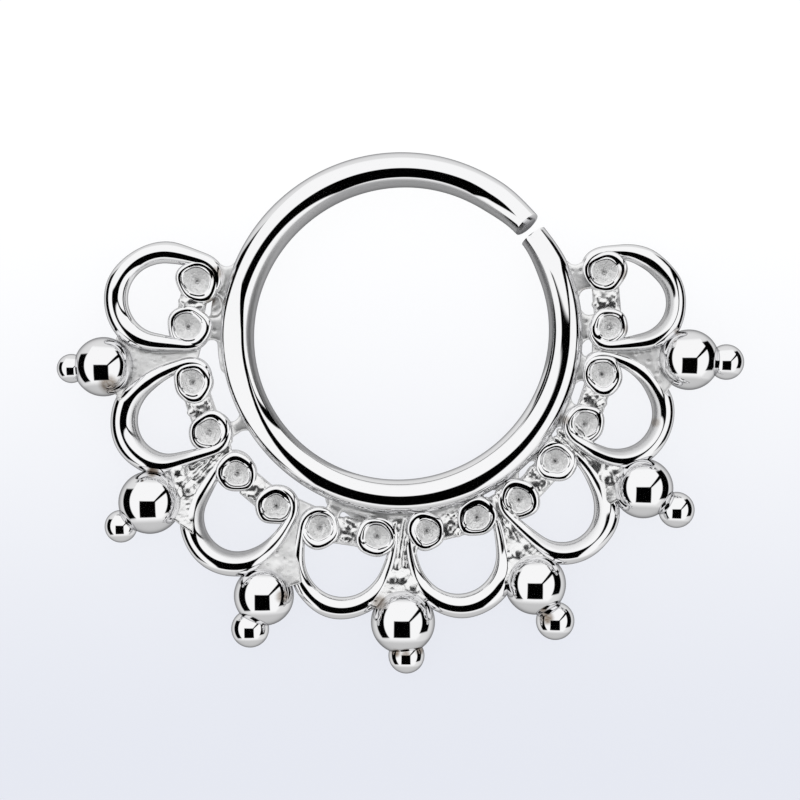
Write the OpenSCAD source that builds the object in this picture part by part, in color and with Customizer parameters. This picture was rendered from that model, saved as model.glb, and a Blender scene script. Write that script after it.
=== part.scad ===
/* [Hoop] */
// Outer diameter of the open hoop
hoop_outer_d = 12.43; // [12.3:0.01:12.6]
// Thickness of the hoop wire, 16 gauge
wire_d = 1.2; // [1.1:0.01:1.25]
// Angle of the lower cut end, counterclockwise from the right
gap_from = 36.6; // [35:0.1:38]
// Angle of the upper cut end
gap_to = 42.6; // [41:0.1:46]

/* [Scrolls] */
// Height of the scrolls' wire
wire_h = 0.56; // [0.5:0.01:0.6]
// Half thickness of a scroll at its curled tip
tip_r = 0.12; // [0.1:0.01:0.13]
// Clear radius inside a curl, round the middle of its cup
curl_clear_r = 0.46; // [0.45:0.01:0.48]

/* [Cups] */
// Outer radius of a cup
cup_r = 0.57; // [0.55:0.01:0.6]
// Height of a cup
cup_h = 0.56; // [0.5:0.01:0.6]
// Height of a cup's rim over the middle plane
rim_z = 0.22; // [0.18:0.01:0.26]
// Radius of the dished recess at the rim
dish_r = 0.42; // [0.4:0.01:0.43]
// Radius of the recess at its floor
dish_floor_r = 0.2; // [0.15:0.01:0.25]
// Depth of the recess
dish_depth = 0.22; // [0.15:0.01:0.3]
// Radius of the drill mark in the floor
dimple_r = 0.09; // [0.06:0.01:0.12]

/* [Webs] */
// Top of the cast web between two scallops, over the middle plane
web_top = 0.12; // [0.08:0.01:0.15]
// Thickness of the cast web
web_h = 0.36; // [0.3:0.01:0.42]
// How far a web reaches from the cups towards the hoop
web_reach = 0.32; // [0.25:0.01:0.36]
// Width of the bridge between the two cups of a scallop
bridge_w = 0.5; // [0.4:0.01:0.6]
// Top of that bridge, over the middle plane
bridge_top = 0.15; // [0.1:0.01:0.18]

/* [Solder] */
// Outer radius of the solder band under the hoop
band_r = 6.46; // [6.4:0.01:6.5]
// Height of that band
band_h = 0.46; // [0.4:0.01:0.5]

/* [Hidden] */
round_fn = 64;
wire_fn = 32;

// One row for each scallop, from the upper left round to the upper right, in mm from the hoop's middle:
// the hole in the loop (x, y, radius), the loop wire's half thickness at five places from its first end
// to its second, then each end's cup (x, y), the curl's half thickness and how far it turns (degrees).
scallops = [
//  hole_x hole_y hole_r  w0    w1    w2    w3    w4     ax     ay     a_r  a_turn  bx     by     b_r  b_turn
  [ -8.20,  1.19, 1.20, 0.38, 0.36, 0.41, 0.41, 0.33, -7.01,  1.80, 0.27, 165, -7.32,  0.24, 0.21, 150],
  [ -7.96, -3.00, 1.12, 0.34, 0.46, 0.48, 0.43, 0.29, -7.17, -1.66, 0.21, 130, -6.60, -3.38, 0.20, 235],
  [ -5.63, -6.32, 1.15, 0.31, 0.43, 0.45, 0.43, 0.27, -5.64, -4.80, 0.20, 130, -4.30, -5.93, 0.18, 215],
  [ -2.01, -7.75, 1.29, 0.22, 0.33, 0.39, 0.36, 0.22, -2.80, -6.65, 0.15, 200, -0.84, -6.95, 0.15, 160],
  [  1.94, -7.65, 1.28, 0.22, 0.36, 0.43, 0.43, 0.24,  0.87, -6.77, 0.15, 200,  2.59, -6.31, 0.15, 190],
  [  5.51, -6.04, 1.11, 0.26, 0.39, 0.40, 0.45, 0.33,  4.03, -5.71, 0.17, 190,  5.27, -4.37, 0.17, 190],
  [  7.41, -2.74, 1.21, 0.27, 0.38, 0.37, 0.39, 0.31,  6.29, -3.10, 0.17, 200,  6.88, -1.39, 0.20, 170],
  [  8.02,  1.07, 1.07, 0.31, 0.37, 0.34, 0.36, 0.36,  7.12,  0.22, 0.19, 150,  6.95,  2.11, 0.21, 170],
];
hole_r = 2;
widths = 3;
cup_a = 8;
cup_b = 12;

// One row for each pair of balls, one pair between two scallops, in mm from the hoop's middle.
balls = [
//   big_x   big_y big_r  small_x small_y small_r
  [ -10.22, -1.14, 1.02, -11.32,  -1.20, 0.50],
  [  -8.62, -5.79, 1.08,  -9.62,  -6.61, 0.56],
  [  -4.72, -8.99, 1.03,  -5.19, -10.12, 0.65],
  [   0.05, -9.88, 1.10,   0.17, -11.04, 0.62],
  [   4.59, -8.59, 1.05,   5.27,  -9.85, 0.66],
  [   8.29, -5.31, 1.03,   9.43,  -6.05, 0.62],
  [   9.86, -0.90, 1.04,  11.14,  -0.98, 0.61],
];

// One row for each solder joint between hoop and fan: angle on the hoop, how far out it reaches, its half width.
joints = [
//  angle  out_r half_w
  [166.5, 6.75, 0.24],
  [178.0, 6.75, 0.21],
  [209.5, 6.70, 0.12],
  [249.0, 6.70, 0.21],
  [305.5, 6.60, 0.21],
  [320.5, 6.36, 0.20],
  [334.0, 6.60, 0.21],
  [349.0, 6.60, 0.21],
  [  2.0, 6.70, 0.20],
  [ 17.5, 6.75, 0.24],
];
band_from = 250;
band_to = 292;

// Stops along each curl and along the loop, and how fast a curl swells from its tip.
curl_steps = 6;
loop_steps = 14;
curl_swell = 1.3;

// Where a web leaves the two loops beside it, in degrees round each loop from its curl.
web_near = 15;
web_far = 45;

hoop_r = hoop_outer_d / 2;
hoop_mid_r = hoop_r - wire_d / 2;
mid_z = balls[1][2] - 0.04;

// The overall box in the plane, for the origin.
left = min([for (b = balls) b[3] - b[5]]);
right = max([for (b = balls) b[3] + b[5]]);
bottom = min([for (b = balls) b[4] - b[5]]);
mid_x = (left + right) / 2;
mid_y = (hoop_r + bottom) / 2;

// A wire that bends round circles: where its outer side leaves circle c straight for circle d, in degrees.
// A circle is [x, y, radius of the wire's middle line].
function lean(c, d) = atan2(d.y - c.y, d.x - c.x) - acos((c[2] - d[2]) / norm([d.x - c.x, d.y - c.y]));
function after(a, b) = b < a ? after(a, b + 360) : b >= a + 360 ? after(a, b - 360) : b;
function on(c, a) = [c.x + c[2] * cos(a), c.y + c[2] * sin(a)];
function curl(s, i) = [s[i], s[i + 1], curl_clear_r + s[i + 2]];
function loop(s, i) = [s.x, s.y, s[hole_r] + s[widths + i]];
function from_angle(s) = lean(curl(s, cup_a), loop(s, 0));
function to_angle(s) = after(from_angle(s), lean(loop(s, 4), curl(s, cup_b)));
function loop_w(s, f) = lookup(f * 4, [for (i = [0:4]) [i, s[widths + i]]]);
function curl_w(s, i, f) = tip_r + (s[i + 2] - tip_r) * min(1, curl_swell * f);

// Stops along a scroll from tip to tip: [x, y, clear radius inside the bend, half thickness, angle].
function stops(s) = let (a = from_angle(s), b = to_angle(s)) concat(
  [for (k = [0:curl_steps]) let (f = k / curl_steps)
    [s[cup_a], s[cup_a + 1], curl_clear_r, curl_w(s, cup_a, f), a - s[cup_a + 3] * (1 - f)]],
  [for (k = [0:loop_steps]) let (f = k / loop_steps)
    [s.x, s.y, s[hole_r], loop_w(s, f), a + (b - a) * f]],
  [for (k = [0:curl_steps]) let (f = k / curl_steps)
    [s[cup_b], s[cup_b + 1], curl_clear_r, curl_w(s, cup_b, 1 - f), b + s[cup_b + 3] * f]]);
function beside(t, side) = on([t.x, t.y, t[2] + t[3] * (1 + side)], t[4]);
function tip(t, way) = beside(t, 0) + way * t[3] * [-sin(t[4]), cos(t[4])];
function inward(p) = p * (1 - web_reach / norm(p));

module bar(h) linear_extrude(height = h, center = true) children();

module scroll(s) {
  t = stops(s);
  last = len(t) - 1;
  bar(wire_h) polygon(concat(
    [for (i = [0:last]) beside(t[i], 1)], [tip(t[last], 1)],
    [for (i = [0:last]) beside(t[last - i], -1)], [tip(t[0], -1)]));
}

module cup(x, y)
  translate([x, y, rim_z]) difference() {
    translate([0, 0, -cup_h]) cylinder(h = cup_h, r = cup_r, $fn = round_fn);
    translate([0, 0, -dish_depth]) {
      cylinder(h = dish_depth + 0.02, r1 = dish_floor_r, r2 = dish_r + 0.02, $fn = round_fn);
      sphere(r = dimple_r, $fn = wire_fn);
    }
  }

// A stretch of the cast sheet between the scrolls, with its top at z.
module bar_at(z) translate([0, 0, z - web_h / 2]) bar(web_h) children();

module cup_bridge(s) {
  a = [s[cup_a], s[cup_a + 1]];
  b = [s[cup_b], s[cup_b + 1]];
  way = (b - a) / norm(b - a);
  side = bridge_w / 2 * [-way.y, way.x];
  in_wall = (dish_r + cup_r) / 2 * way;
  polygon([a + in_wall + side, b - in_wall + side, b - in_wall - side, a + in_wall - side]);
}

module scallop(s) {
  scroll(s);
  union() {
    cup(s[cup_a], s[cup_a + 1]);
    cup(s[cup_b], s[cup_b + 1]);
    bar_at(bridge_top) cup_bridge(s);
  }
}

module web(s, t, b) {
  p = on(curl(s, cup_b), to_angle(s));
  q = on(curl(t, cup_a), from_angle(t));
  polygon([p, inward(p), inward(q), q,
    on(loop(t, 0), from_angle(t) + web_near), on(loop(t, 1), from_angle(t) + web_far), [b[0], b[1]],
    on(loop(s, 3), to_angle(s) - web_far), on(loop(s, 4), to_angle(s) - web_near)]);
}

module ball_pair(b) {
  translate([b[0], b[1], b[2] - mid_z]) sphere(r = b[2], $fn = round_fn);
  translate([b[3], b[4], 0]) sphere(r = b[5], $fn = round_fn);
}

module hoop()
  rotate([0, 0, gap_to]) rotate_extrude(angle = 360 + gap_from - gap_to, $fn = 160)
    translate([hoop_mid_r, 0]) rotate(-90) circle(r = wire_d / 2, $fn = 48);

module solder() {
  rotate([0, 0, band_from]) rotate_extrude(angle = band_to - band_from, $fn = 160)
    translate([hoop_mid_r, -band_h / 2]) square([band_r - hoop_mid_r, band_h]);
  for (j = joints)
    rotate([0, 90, j[0]]) translate([0, 0, hoop_mid_r])
      cylinder(h = j[1] - hoop_mid_r, r = j[2], $fn = wire_fn);
}

module septum_ring()
  color([0.82, 0.82, 0.8]) translate([-mid_x, -mid_y, mid_z]) union() {
    for (s = scallops) scallop(s);
    for (i = [0:6]) {
      bar_at(web_top) web(scallops[i], scallops[i + 1], balls[i]);
      ball_pair(balls[i]);
    }
    hoop();
    solder();
  }

septum_ring();
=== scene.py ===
"""Looks of a cast septum ring: polished wire scrolls, dished cups and balls round an open hoop."""
import logging
import math
import random
from collections.abc import Callable, Iterator
from contextlib import contextmanager
from dataclasses import dataclass, field
from enum import Enum

import bpy
from bpy.types import Material, Node, NodeSocket, NodeTree, Object
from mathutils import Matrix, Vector


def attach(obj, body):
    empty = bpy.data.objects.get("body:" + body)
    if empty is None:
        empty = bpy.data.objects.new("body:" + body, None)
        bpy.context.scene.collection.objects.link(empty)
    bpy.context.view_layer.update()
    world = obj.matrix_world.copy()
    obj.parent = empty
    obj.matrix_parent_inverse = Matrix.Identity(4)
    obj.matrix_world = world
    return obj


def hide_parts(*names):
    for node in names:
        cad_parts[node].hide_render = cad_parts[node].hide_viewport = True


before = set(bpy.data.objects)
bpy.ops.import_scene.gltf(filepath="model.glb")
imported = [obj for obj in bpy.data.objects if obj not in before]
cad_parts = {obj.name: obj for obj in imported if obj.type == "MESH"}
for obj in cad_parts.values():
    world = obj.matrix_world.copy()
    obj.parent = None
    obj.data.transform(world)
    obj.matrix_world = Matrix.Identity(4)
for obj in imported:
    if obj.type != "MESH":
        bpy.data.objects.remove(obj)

LOG = logging.getLogger("septum_ring")
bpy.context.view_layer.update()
NODE = "septum_ring"
BODY = "root"
MM = 0.001

# Short names for two and three numbers, and for what a sum in a shader takes.
Pair = tuple[float, float]
Triple = tuple[float, float, float]
Signal = NodeSocket | float

# Places are in millimetres from the hoop's middle, as a maker measures them. This is that middle in the frame.
HOOP_X, HOOP_Y, HOOP_Z = 0.035, 2.7225, 1.04


def linear(hex_colour: str) -> tuple[float, float, float, float]:
    """Turn an sRGB hex value to linear colour.

    Args:
        hex_colour: Six hex digits with a leading hash.

    Returns:
        Linear red, green and blue with an alpha of one.
    """
    values = [int(hex_colour[i:i + 2], 16) / 255 for i in (1, 3, 5)]
    curve = [v / 12.92 if v <= 0.04045 else ((v + 0.055) / 1.055) ** 2.4 for v in values]
    return (*curve, 1.0)


def add_node(tree: NodeTree, kind: str, settings: dict | None = None,
             links: dict | None = None) -> Node:
    """Add one shader node.

    Args:
        tree: The node tree that gets it.
        kind: The node's type name.
        settings: Attribute names, or input names or numbers, with their constant values.
        links: Input names or numbers with the output socket that feeds each.

    Returns:
        The new node.
    """
    node = tree.nodes.new(kind)
    for key, value in (settings or {}).items():
        if isinstance(key, int) or key in node.inputs:
            node.inputs[key].default_value = value
        else:
            setattr(node, key, value)
    for key, socket in (links or {}).items():
        tree.links.new(socket, node.inputs[key])
    return node


class Slot(Enum):
    """Names of the material slots."""

    PLATE = "polished_plate"


@dataclass
class Scallop:
    """One C-scroll loop.

    Attributes:
        hole: Middle and radius of the hole in it.
        widths: The wire's half thickness at five places on the way round.
        cup_a: Middle of the cup that its first end curls round.
        curl_a: Half thickness of that curl, and how far it turns in degrees.
        cup_b: Middle of the cup at its second end.
        curl_b: Half thickness and turn of the curl there.
        bulges: How far the wire bows out between the loop and each curl.
        dishes: Radius of each cup's dish.
        slopes: How steeply the wire climbs at five places on the way round.
        matt: How matt the side that faces the hole was left, and how strongly painted shade greys it.
    """

    hole: Triple
    widths: tuple[float, ...]
    cup_a: Pair
    curl_a: Pair
    cup_b: Pair
    curl_b: Pair
    bulges: Pair
    dishes: Pair = (0.40, 0.40)
    slopes: tuple[float, ...] = (0.0, 0.0, 0.0, 0.0, 0.0)
    matt: float = 0.0


@dataclass
class BallPair:
    """A big ball and the small one outboard of it."""

    big: Triple
    small: Triple


# Each row's matt also sets how strongly painted shade greys the side that faces its hole.
SCALLOPS = [
    Scallop((-8.20, 1.19, 1.20), (0.38, 0.36, 0.41, 0.41, 0.33), (-7.01, 1.80), (0.27, 165), (-7.32, 0.24),
            (0.21, 150), (0.04, 0.00), dishes=(0.45, 0.45), slopes=(0.0, 0.0, 0.0, 0.11, 0.0)),
    Scallop((-7.96, -3.00, 1.12), (0.34, 0.46, 0.48, 0.43, 0.29), (-7.17, -1.66), (0.21, 130), (-6.60, -3.38),
            (0.20, 235), (0.12, 0.00), dishes=(0.40, 0.42), slopes=(-0.04, -0.10, 0.17, 0.08, 0.0), matt=0.55),
    Scallop((-5.63, -6.32, 1.15), (0.31, 0.43, 0.45, 0.43, 0.27), (-5.64, -4.80), (0.20, 130), (-4.30, -5.93),
            (0.18, 215), (0.02, 0.12), slopes=(0.0, 0.0, 0.16, 0.0, 0.0), matt=0.90),
    Scallop((-2.01, -7.75, 1.29), (0.22, 0.33, 0.39, 0.36, 0.22), (-2.80, -6.65), (0.15, 200), (-0.84, -6.95),
            (0.15, 160), (0.04, 0.08)),
    Scallop((1.94, -7.65, 1.28), (0.22, 0.36, 0.43, 0.43, 0.24), (0.87, -6.77), (0.15, 200), (2.59, -6.31),
            (0.15, 190), (0.08, 0.06), dishes=(0.38, 0.40)),
    Scallop((5.51, -6.04, 1.11), (0.26, 0.39, 0.40, 0.45, 0.33), (4.03, -5.71), (0.17, 190), (5.27, -4.37),
            (0.17, 190), (0.04, 0.15), slopes=(0.0, 0.0, -0.20, -0.05, 0.05), matt=0.40),
    Scallop((7.41, -2.74, 1.21), (0.27, 0.38, 0.37, 0.39, 0.31), (6.29, -3.10), (0.17, 200), (6.88, -1.39),
            (0.20, 170), (0.03, 0.17), slopes=(0.0, -0.14, -0.16, 0.0, 0.0), matt=0.80),
    Scallop((8.02, 1.07, 1.07), (0.31, 0.37, 0.34, 0.36, 0.36), (7.12, 0.22), (0.19, 150), (6.95, 2.11),
            (0.21, 170), (0.02, 0.20), dishes=(0.38, 0.42), slopes=(-0.02, -0.14, -0.12, 0.0, 0.0), matt=0.75),
]

BALL_PAIRS = [
    BallPair((-10.22, -1.14, 1.02), (-11.32, -1.20, 0.50)),
    BallPair((-8.62, -5.79, 1.08), (-9.62, -6.61, 0.56)),
    BallPair((-4.72, -8.99, 1.03), (-5.19, -10.12, 0.65)),
    BallPair((0.05, -9.88, 1.10), (0.17, -11.04, 0.62)),
    BallPair((4.59, -8.59, 1.05), (5.27, -9.85, 0.66)),
    BallPair((8.29, -5.31, 1.03), (9.43, -6.05, 0.62)),
    BallPair((9.86, -0.90, 1.04), (11.14, -0.98, 0.61)),
]


@dataclass(frozen=True)
class Circle:
    """A circle that the wire's middle line follows."""

    x: float
    y: float
    r: float

    def at(self, angle: float) -> Vector:
        """Return the point of the circle at an angle in degrees."""
        a = math.radians(angle)
        return Vector((self.x + self.r * math.cos(a), self.y + self.r * math.sin(a), 0.0))


def lean(c: Circle, d: Circle) -> float:
    """Return the direction, in degrees, of the outward normal where a belt goes straight from c to d."""
    dx, dy = d.x - c.x, d.y - c.y
    return math.degrees(math.atan2(dy, dx) - math.acos((c.r - d.r) / math.hypot(dx, dy)))


def after(a: float, b: float) -> float:
    """Return b, turned by whole turns to the first angle that isn't below a."""
    return a + (b - a) % 360


def smooth_step(t: float) -> float:
    """Return t eased at both ends, held between 0 and 1."""
    t = min(1.0, max(0.0, t))
    return t * t * (3 - 2 * t)


def between(values: tuple[float, ...], t: float) -> float:
    """Return the value at place t of a row of values at 0, 1, 2 and so on, eased from each to the next."""
    k = min(len(values) - 2, max(0, int(t)))
    return values[k] + (values[k + 1] - values[k]) * smooth_step(t - k)


def stops(start: float, end: float, count: int) -> list[float]:
    """Return the places that part the way from start to end into equal steps, both ends among them."""
    return [start + (end - start) * i / count for i in range(count + 1)]


@dataclass
class WirePath:
    """A wire's middle line with its half thickness at each point, in millimetres."""

    points: list[Vector] = field(default_factory=list)
    radii: list[float] = field(default_factory=list)

    def arc(self, centre: Vector, start: float, end: float, step: float, radius_at: Callable[[float], float],
            width_at: Callable[[float], float]) -> None:
        """Follow an arc whose radius and wire width change on the way.

        Args:
            centre: Middle of the arc.
            start: Angle that it starts from, in degrees.
            end: Angle that it ends at, in degrees.
            step: Length of a step along it.
            radius_at: Radius of the middle line for a share of the way from 0 to 1.
            width_at: Half thickness of the wire for a share of the way.
        """
        count = max(4, round(abs(math.radians(end - start)) * radius_at(0.5) / step))
        for i in range(count + 1):
            f = i / count
            a = math.radians(start + (end - start) * f)
            self.points.append(centre + radius_at(f) * Vector((math.cos(a), math.sin(a), 0.0)))
            self.radii.append(width_at(f))

    def even(self, step: float) -> "WirePath":
        """Return the same line with its points at even steps.

        Args:
            step: Distance between two points.

        Returns:
            The new path.
        """
        lengths = [0.0]
        for p, q in zip(self.points, self.points[1:]):
            lengths.append(lengths[-1] + (q - p).length)
        count = round(lengths[-1] / step)
        out, k = WirePath(), 0
        for i in range(count + 1):
            s = lengths[-1] * i / count
            while k < len(lengths) - 2 and lengths[k + 1] < s:
                k += 1
            f = (s - lengths[k]) / max(1e-9, lengths[k + 1] - lengths[k])
            out.points.append(self.points[k].lerp(self.points[k + 1], f))
            out.radii.append(self.radii[k] + (self.radii[k + 1] - self.radii[k]) * f)
        return out

    def eased(self, passes: int) -> "WirePath":
        """Return the path with its kinks eased, its ends held.

        Args:
            passes: How often each point moves half way to the middle of its neighbours.

        Returns:
            The new path.
        """
        points, radii = list(self.points), list(self.radii)
        for _ in range(passes):
            points, radii = ([row[0], *((p + r) / 4 + q / 2 for p, q, r in zip(row, row[1:], row[2:])), row[-1]]
                             for row in (points, radii))
        return WirePath(points, radii)

    def part(self, start: float, end: float, share: float) -> "WirePath":
        """Return a stretch of the path, thinned.

        Args:
            start: Where the stretch starts, as a share of the points.
            end: Where it ends.
            share: Its half thickness as a share of the wire's.

        Returns:
            The new path.
        """
        a, b = int(start * (len(self.points) - 1)), int(end * (len(self.points) - 1)) + 1
        return WirePath(self.points[a:b], [r * share for r in self.radii[a:b]])


# Attributes that the finishes read, from 0 to 1, and how softly the matt one ends; the matt one also greys the colour
# as painted shade.
TARNISH = "tarnish"
MATT_AND_SHADE = "matt"
MATT_AND_SHADE_SOFT = 0.08

# Brown stains that show in the crevices: place from the hoop's middle, radius and strength.
STAINS = [
    (-6.35, 2.05, 0.30, 0.7), (-6.55, 1.10, 0.22, 0.7), (-9.95, -1.75, 0.42, 0.8), (-8.50, -4.72, 0.26, 0.8),
    (-4.03, -8.95, 0.30, 0.8), (-0.75, -9.20, 0.34, 0.7), (-0.20, -10.90, 0.20, 0.9), (0.15, -10.95, 0.20, 0.7),
    (0.62, -10.85, 0.18, 0.9), (4.95, -9.70, 0.30, 0.9), (7.60, 2.00, 0.26, 0.6), (6.30, 1.40, 0.22, 0.6),
    (7.70, 0.15, 0.20, 0.5), (8.70, -3.05, 0.20, 0.5), (5.62, -2.97, 0.20, 0.6), (9.42, 0.10, 0.15, 0.5),
]

# How quickly a stain is full from its edge inwards, and how uneven it is.
STAIN_EDGE = 1.6
STAIN_UNEVEN = (0.7, 1.0)
STAIN_SEED = 7


def paint(piece: Object, attribute: str, value_at: Callable[[Vector], float]) -> None:
    """Paint an attribute on a piece, point by point.

    Args:
        piece: A piece in millimetres from the hoop's middle.
        attribute: Name of the attribute.
        value_at: The value at a place of the piece.
    """
    layer = piece.data.attributes.new(attribute, "FLOAT", "POINT")
    layer.data.foreach_set("value", [value_at(v.co) for v in piece.data.vertices])


def stain_at(spot: Vector) -> float:
    """Return how brown a place is, from 0 to 1."""
    gaps = ((math.hypot(spot.x - x, spot.y - y) / r, strength) for x, y, r, strength in STAINS)
    return max((strength * smooth_step(STAIN_EDGE * (1 - gap)) for gap, strength in gaps if gap < 1), default=0.0)


def stain(piece: Object) -> None:
    """Paint a piece's tarnish from the list of stains, a little uneven from point to point."""
    rng = random.Random(STAIN_SEED)
    paint(piece, TARNISH, lambda spot: stain_at(spot) * rng.uniform(*STAIN_UNEVEN))


@dataclass
class Bench:
    """The bench that pieces are made at: millimetres from the hoop's middle, then moved into the frame."""

    # Rings of a rounded end, and the share of the wire's radius that is left at its tip.
    cap_steps: int = 7
    cap_tip: float = 0.02
    weld_gap: float = 0.0005
    bar_sides: int = 40
    ease: float = 0.5

    def fresh(self) -> None:
        """Deselect everything, so that an operator acts on the new piece alone."""
        if bpy.context.object and bpy.context.object.mode != "OBJECT":
            bpy.ops.object.mode_set(mode="OBJECT")
        bpy.ops.object.select_all(action="DESELECT")

    def pick(self, *pieces: Object) -> None:
        """Select these pieces alone.

        Args:
            pieces: The pieces, the one that becomes active first.
        """
        self.fresh()
        for piece in pieces:
            piece.select_set(True)
        bpy.context.view_layer.objects.active = pieces[0]

    def named(self, name: str) -> Object:
        """Name the active piece and return it."""
        bpy.context.object.name = name
        return bpy.context.object

    def tube(self, path: WirePath, sides: int, name: str, round_ends: bool = True) -> Object:
        """Draw a round wire along a path.

        Args:
            path: The wire's middle line and half thickness.
            sides: Number of sides, a multiple of four.
            name: Name of the new mesh object.
            round_ends: Whether the ends are rounded over.

        Returns:
            The closed tube.
        """
        points, radii = list(path.points), list(path.radii)
        for _ in range(2 if round_ends else 0):
            tip, r = points[-1], radii[-1]
            way = (tip - points[-2]).normalized()
            for a in stops(0, math.pi / 2, self.cap_steps)[1:]:
                points.append(tip + way * r * math.sin(a))
                radii.append(max(self.cap_tip * r, r * math.cos(a)))
            points.reverse()
            radii.reverse()
        self.fresh()
        bpy.ops.curve.primitive_nurbs_path_add(location=(0, 0, 0))
        data = self.named(name).data
        data.splines.clear()
        line = data.splines.new("POLY")
        line.points.add(len(points) - 1)
        for spot, p, r in zip(line.points, points, radii):
            spot.co = (*p, 1.0)
            spot.radius = r
        data.dimensions = "3D"
        data.twist_mode = "Z_UP"
        data.bevel_depth = 1.0
        # A full bevel of resolution n has 2 n + 4 sides.
        data.bevel_resolution = sides // 2 - 2
        data.use_fill_caps = True
        bpy.ops.object.convert(target="MESH")
        self.pick(bpy.context.object)
        with self.editing():
            bpy.ops.mesh.remove_doubles(threshold=self.weld_gap)
        return bpy.context.object

    @contextmanager
    def editing(self) -> Iterator[None]:
        """Edit the active piece with all of it selected, and turn its faces outwards at the end.

        Returns:
            A context for the edit operators.
        """
        bpy.ops.object.mode_set(mode="EDIT")
        bpy.ops.mesh.select_all(action="SELECT")
        yield
        bpy.ops.mesh.select_all(action="SELECT")
        bpy.ops.mesh.normals_make_consistent(inside=False)
        bpy.ops.object.mode_set(mode="OBJECT")

    def ball(self, x: float, y: float, z: float, r: float, name: str, segments: int = 64) -> Object:
        """Turn a ball.

        Args:
            x: Place of its middle to the right.
            y: Place of its middle upwards.
            z: Height of its middle.
            r: Its radius.
            name: Name of the new mesh object.
            segments: Number of its segments, twice that of its rings.

        Returns:
            The ball.
        """
        self.fresh()
        bpy.ops.mesh.primitive_uv_sphere_add(segments=segments, ring_count=segments // 2, radius=r, location=(x, y, z))
        return self.named(name)

    def bar(self, start: Vector, end: Vector, r1: float, r2: float, name: str) -> Object:
        """Turn a tapered round bar.

        Args:
            start: Middle of its first end.
            end: Middle of its second end.
            r1: Radius at the first end.
            r2: Radius at the second end.
            name: Name of the new mesh object.

        Returns:
            The closed bar.
        """
        self.fresh()
        way = end - start
        bpy.ops.mesh.primitive_cone_add(vertices=self.bar_sides, radius1=r1, radius2=r2, depth=way.length,
                                        location=(start + end) / 2, rotation=way.to_track_quat("Z", "Y").to_euler())
        return self.named(name)

    def plate(self, outline: list[Vector], low: float, high: float, name: str) -> Object:
        """Cut a flat plate to an outline.

        Args:
            outline: Corners, in order round the plate.
            low: Height of its underside.
            high: Height of its top.
            name: Name of the new mesh object.

        Returns:
            The closed plate.
        """
        self.fresh()
        bpy.ops.mesh.primitive_circle_add(vertices=len(outline), fill_type="NGON")
        piece = self.named(name)
        for spot, p in zip(piece.data.vertices, outline):
            spot.co = (p.x, p.y, low)
        with self.editing():
            bpy.ops.mesh.extrude_region_move(TRANSFORM_OT_translate={"value": (0, 0, high - low)})
        return piece

    def join(self, pieces: list[Object], name: str) -> Object:
        """Join pieces into one, with its place in its mesh.

        Args:
            pieces: What it is made of.
            name: Its name.

        Returns:
            The joined piece.
        """
        self.pick(*pieces)
        bpy.ops.object.transform_apply(location=True, rotation=True, scale=True)
        if len(pieces) > 1:
            bpy.ops.object.join()
        bpy.context.object.data.name = name
        return self.named(name)

    def modify(self, piece: Object, kind: str, **settings: str | float | bool) -> None:
        """Give a piece a modifier and apply it.

        Args:
            piece: The piece.
            kind: The modifier's type.
            settings: Its attributes with their values.
        """
        self.pick(piece)
        modifier = piece.modifiers.new(kind, kind)
        for key, value in settings.items():
            setattr(modifier, key, value)
        bpy.ops.object.modifier_apply(modifier=modifier.name)

    def melt(self, piece: Object, grain: float, passes: int) -> None:
        """Fuse a piece's overlapping parts into one skin and let its corners flow.

        Args:
            piece: The joined parts.
            grain: Size of the skin's cells.
            passes: How often the skin is eased.
        """
        self.modify(piece, "REMESH", mode="VOXEL", voxel_size=grain, use_smooth_shade=True)
        self.modify(piece, "SMOOTH", factor=self.ease, iterations=passes)

    def finish(self, piece: Object, material: Material, crease: float | None = None) -> Object:
        """Stain a piece, move it into the frame, give it its metal and seat it on its body.

        Args:
            piece: The finished piece, in millimetres from the hoop's middle.
            material: Its finish.
            crease: Angle in degrees from which an edge stays sharp, or None where none does.

        Returns:
            The piece.
        """
        stain(piece)
        self.pick(piece)
        piece.location = (HOOP_X * MM, HOOP_Y * MM, HOOP_Z * MM)
        piece.scale = (MM, MM, MM)
        bpy.ops.object.transform_apply(location=True, rotation=True, scale=True)
        bpy.ops.object.shade_smooth()
        if crease is not None:
            bpy.ops.object.shade_smooth_by_angle(angle=math.radians(crease))
        if not piece.data.materials:
            piece.data.materials.append(material)
        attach(piece, BODY)
        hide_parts(NODE)
        return piece


BENCH = Bench()


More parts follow.
